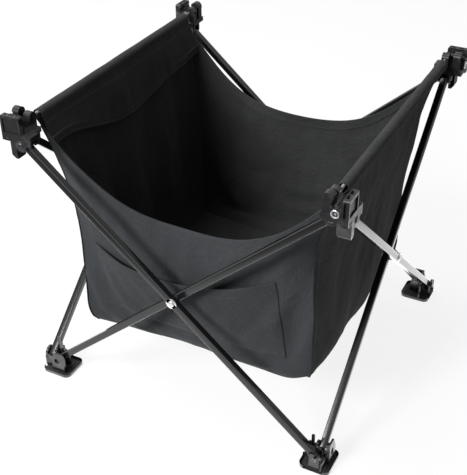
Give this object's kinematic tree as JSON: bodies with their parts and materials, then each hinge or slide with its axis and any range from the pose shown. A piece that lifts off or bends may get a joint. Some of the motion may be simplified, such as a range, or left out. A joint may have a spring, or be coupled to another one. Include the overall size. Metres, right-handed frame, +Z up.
{
  "type": "folding camping table",
  "caption": "Folding camping table base of crossed square tubes with jaw hubs for a roll-up top, stepped feet and a hanging fabric storage bag with a front pocket.",
  "frame": {"origin": "on the ground under the middle of the open frame", "axes": "+Z up, the bag's pocket faces -Y, the bag's sleeves run along Y"},
  "size_m": [0.3372, 0.3372, 0.3055],
  "materials": {
    "black_plastic": "fine moulded grain, slight sheen on rounded edges",
    "black_tube": "glossy black anodised",
    "steel": "plain steel pins and rivets",
    "bright_steel": "bright plated",
    "rubber": "matt, grooved",
    "cord": "grey woven cover over elastic cord",
    "bag_fabric": "charcoal woven polyester"
  },
  "bodies": {
    "foot_front_right": {"foot_front_right": "black_plastic", "foot_pins_front_right": "steel", "sole_front_right": "rubber"},
    "hub_front_right": {"hub_front_right": "black_plastic", "hub_pins_front_right": "steel", "hub_rivet_front_right": "bright_steel"},
    "foot_front_left": {"foot_front_left": "black_plastic", "foot_pins_front_left": "steel", "sole_front_left": "rubber"},
    "hub_front_left": {"hub_front_left": "black_plastic", "hub_pins_front_left": "steel", "hub_rivet_front_left": "bright_steel", "edge_cord_left": "cord"},
    "foot_back_left": {"foot_back_left": "black_plastic", "foot_pins_back_left": "steel", "sole_back_left": "rubber"},
    "hub_back_left": {"hub_back_left": "black_plastic", "hub_pins_back_left": "steel", "hub_rivet_back_left": "bright_steel"},
    "foot_back_right": {"foot_back_right": "black_plastic", "foot_pins_back_right": "steel", "sole_back_right": "rubber"},
    "hub_back_right": {"hub_back_right": "black_plastic", "hub_pins_back_right": "steel", "hub_rivet_back_right": "bright_steel", "edge_cord_right": "cord"},
    "outer_tube_front": {"outer_tube_front": "black_tube", "outer_plugs_front": "black_plastic", "rivet_front": "steel", "spacer_front": "black_plastic"},
    "inner_tube_front": {"inner_tube_front": "black_tube", "inner_plugs_front": "black_plastic"},
    "outer_tube_left": {"outer_tube_left": "black_tube", "outer_plugs_left": "black_plastic", "rivet_left": "steel", "spacer_left": "black_plastic"},
    "inner_tube_left": {"inner_tube_left": "black_tube", "inner_plugs_left": "black_plastic"},
    "outer_tube_back": {"outer_tube_back": "black_tube", "outer_plugs_back": "black_plastic", "rivet_back": "steel", "spacer_back": "black_plastic"},
    "inner_tube_back": {"inner_tube_back": "black_tube", "inner_plugs_back": "black_plastic"},
    "outer_tube_right": {"outer_tube_right": "black_tube", "outer_plugs_right": "black_plastic", "rivet_right": "steel", "spacer_right": "black_plastic"},
    "inner_tube_right": {"inner_tube_right": "black_tube", "inner_plugs_right": "black_plastic"},
    "bag_left": {"bag_wall_left": "bag_fabric"},
    "bag_right": {"bag_wall_right": "bag_fabric"},
    "bag_floor_left": {"bag_floor_left": "bag_fabric"},
    "bag_floor_right": {"bag_floor_right": "bag_fabric"},
    "bag_front": {"bag_wall_front": "bag_fabric", "front_pocket": "bag_fabric"},
    "bag_back": {"bag_wall_back": "bag_fabric"}
  },
  "joints": [
    {"name": "fold", "type": "hinge", "parent": "foot_front_left", "child": "inner_tube_front", "pos_m": [-0.148, -0.1552, 0.017], "axis": [0, -1, 0], "range_deg": [0, 43.5], "deforming": ["edge_cord_left", "edge_cord_right", "bag_wall_left", "bag_wall_right", "bag_wall_front", "bag_wall_back", "bag_floor_left", "bag_floor_right", "front_pocket"]},
    {"name": "hub_front_right_pivot", "type": "hinge", "parent": "inner_tube_front", "child": "hub_front_right", "pos_m": [0.148, -0.1552, 0.277], "axis": [0, 1, 0], "range_deg": [0, 43.5]},
    {"name": "front_crossing", "type": "hinge", "parent": "inner_tube_front", "child": "outer_tube_front", "pos_m": [0, -0.1552, 0.147], "axis": [0, 1, 0], "range_deg": [0, 87]},
    {"name": "hub_front_left_pivot", "type": "hinge", "parent": "outer_tube_front", "child": "hub_front_left", "pos_m": [-0.148, -0.1552, 0.277], "axis": [0, -1, 0], "range_deg": [0, 43.5]},
    {"name": "foot_front_right_pivot", "type": "hinge", "parent": "outer_tube_front", "child": "foot_front_right", "pos_m": [0.148, -0.1552, 0.017], "axis": [0, -1, 0], "range_deg": [0, 43.5]},
    {"name": "outer_tube_right_pivot", "type": "hinge", "parent": "hub_front_right", "child": "outer_tube_right", "pos_m": [0.1552, -0.148, 0.277], "axis": [-1, 0, 0], "range_deg": [0, 43.5]},
    {"name": "right_crossing", "type": "hinge", "parent": "outer_tube_right", "child": "inner_tube_right", "pos_m": [0.1552, 0, 0.147], "axis": [1, 0, 0], "range_deg": [0, 87]},
    {"name": "foot_back_right_pivot", "type": "hinge", "parent": "outer_tube_right", "child": "foot_back_right", "pos_m": [0.1552, 0.148, 0.017], "axis": [1, 0, 0], "range_deg": [0, 43.5]},
    {"name": "hub_back_right_pivot", "type": "hinge", "parent": "inner_tube_right", "child": "hub_back_right", "pos_m": [0.1552, 0.148, 0.277], "axis": [-1, 0, 0], "range_deg": [0, 43.5]},
    {"name": "outer_tube_left_pivot", "type": "hinge", "parent": "foot_front_left", "child": "outer_tube_left", "pos_m": [-0.1552, -0.148, 0.017], "axis": [1, 0, 0], "range_deg": [0, 43.5]},
    {"name": "left_crossing", "type": "hinge", "parent": "outer_tube_left", "child": "inner_tube_left", "pos_m": [-0.1552, 0, 0.147], "axis": [-1, 0, 0], "range_deg": [0, 87]},
    {"name": "hub_back_left_pivot", "type": "hinge", "parent": "outer_tube_left", "child": "hub_back_left", "pos_m": [-0.1552, 0.148, 0.277], "axis": [-1, 0, 0], "range_deg": [0, 43.5]},
    {"name": "foot_back_left_pivot", "type": "hinge", "parent": "inner_tube_left", "child": "foot_back_left", "pos_m": [-0.1552, 0.148, 0.017], "axis": [1, 0, 0], "range_deg": [0, 43.5]},
    {"name": "outer_tube_back_pivot", "type": "hinge", "parent": "hub_back_right", "child": "outer_tube_back", "pos_m": [0.148, 0.1552, 0.277], "axis": [0, -1, 0], "range_deg": [0, 43.5]},
    {"name": "back_crossing", "type": "hinge", "parent": "outer_tube_back", "child": "inner_tube_back", "pos_m": [0, 0.1552, 0.147], "axis": [0, 1, 0], "range_deg": [0, 87]},
    {"name": "bag_left_swing", "type": "hinge", "parent": "hub_front_left", "child": "bag_left", "pos_m": [-0.149, 0, 0.297], "axis": [0, 1, 0], "range_deg": [0, 5.7]},
    {"name": "bag_right_swing", "type": "hinge", "parent": "hub_back_right", "child": "bag_right", "pos_m": [0.149, 0, 0.297], "axis": [0, -1, 0], "range_deg": [0, 5.7]},
    {"name": "bag_floor_left_crease", "type": "hinge", "parent": "bag_left", "child": "bag_floor_left", "pos_m": [-0.1155, 0, 0.0585], "axis": [0, -1, 0], "range_deg": [0, 86.5]},
    {"name": "bag_floor_right_crease", "type": "hinge", "parent": "bag_right", "child": "bag_floor_right", "pos_m": [0.1155, 0, 0.0585], "axis": [0, 1, 0], "range_deg": [0, 86.5]},
    {"name": "bag_front_gather", "type": "slide", "parent": "hub_front_left", "child": "bag_front", "axis": [0, -1, 0], "range_m": [0, 0.0225]},
    {"name": "bag_back_gather", "type": "slide", "parent": "hub_back_right", "child": "bag_back", "axis": [0, 1, 0], "range_m": [0, 0.0225]}
  ],
  "couplings": [
    {"joint": "hub_front_right_pivot", "follows": "fold", "ratio": 1},
    {"joint": "front_crossing", "follows": "fold", "ratio": 2},
    {"joint": "hub_front_left_pivot", "follows": "fold", "ratio": 1},
    {"joint": "foot_front_right_pivot", "follows": "fold", "ratio": 1},
    {"joint": "outer_tube_right_pivot", "follows": "fold", "ratio": 1},
    {"joint": "right_crossing", "follows": "fold", "ratio": 2},
    {"joint": "foot_back_right_pivot", "follows": "fold", "ratio": 1},
    {"joint": "hub_back_right_pivot", "follows": "fold", "ratio": 1},
    {"joint": "outer_tube_left_pivot", "follows": "fold", "ratio": 1},
    {"joint": "left_crossing", "follows": "fold", "ratio": 2},
    {"joint": "hub_back_left_pivot", "follows": "fold", "ratio": 1},
    {"joint": "foot_back_left_pivot", "follows": "fold", "ratio": 1},
    {"joint": "outer_tube_back_pivot", "follows": "fold", "ratio": 1},
    {"joint": "back_crossing", "follows": "fold", "ratio": 2},
    {"joint": "bag_left_swing", "follows": "fold", "ratio": 0.131},
    {"joint": "bag_right_swing", "follows": "fold", "ratio": 0.131},
    {"joint": "bag_floor_left_crease", "follows": "fold", "ratio": 1.977},
    {"joint": "bag_floor_right_crease", "follows": "fold", "ratio": 1.977},
    {"joint": "bag_front_gather", "follows": "fold", "m_per_rad": 0.02897},
    {"joint": "bag_back_gather", "follows": "fold", "m_per_rad": 0.02897}
  ]
}
